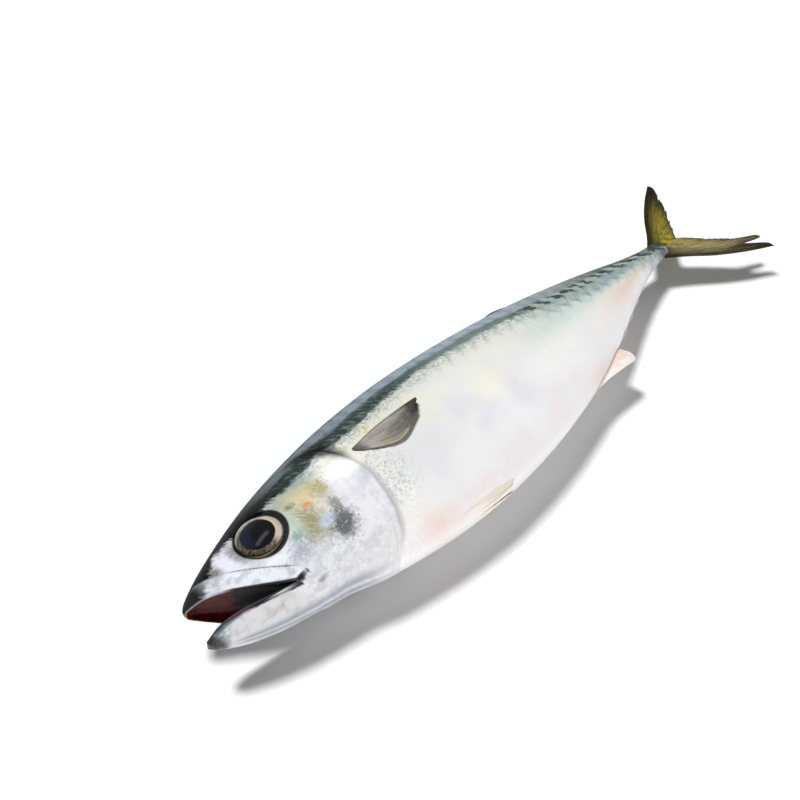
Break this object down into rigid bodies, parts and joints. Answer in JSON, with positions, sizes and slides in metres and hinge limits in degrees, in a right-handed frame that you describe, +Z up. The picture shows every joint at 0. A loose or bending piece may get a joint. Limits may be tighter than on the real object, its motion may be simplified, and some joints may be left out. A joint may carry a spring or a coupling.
{
  "type": "mackerel",
  "caption": "Whole raw mackerel lying on its right side, mouth open, silvery flank, dark back and forked olive tail.",
  "frame": {"origin": "on the surface the fish lies on, under the middle of its bounding box", "axes": "+X from the snout towards the tail, +Y from the belly towards the back, +Z up, through the left side of the fish"},
  "size_m": [0.3292, 0.0776, 0.0473],
  "materials": {
    "skin": "wet, glossy silver",
    "fin": "thin, wet, satin",
    "tail_fin": "thin, wet, satin",
    "eye": "wet, clear gloss"
  },
  "bodies": {
    "root": {"body": "skin", "left_eye": "eye", "right_eye": "eye", "left_pectoral_fin": "fin", "right_pectoral_fin": "fin", "left_pelvic_fin": "fin", "right_pelvic_fin": "fin", "first_dorsal_fin": "fin", "second_dorsal_fin": "fin", "anal_fin": "fin", "dorsal_finlet_1": "fin", "dorsal_finlet_2": "fin", "dorsal_finlet_3": "fin", "dorsal_finlet_4": "fin", "dorsal_finlet_5": "fin", "anal_finlet_1": "fin", "anal_finlet_2": "fin", "anal_finlet_3": "fin", "anal_finlet_4": "fin", "anal_finlet_5": "fin", "caudal_fin_upper_lobe": "tail_fin", "caudal_fin_lower_lobe": "tail_fin"}
  },
  "joints": []
}
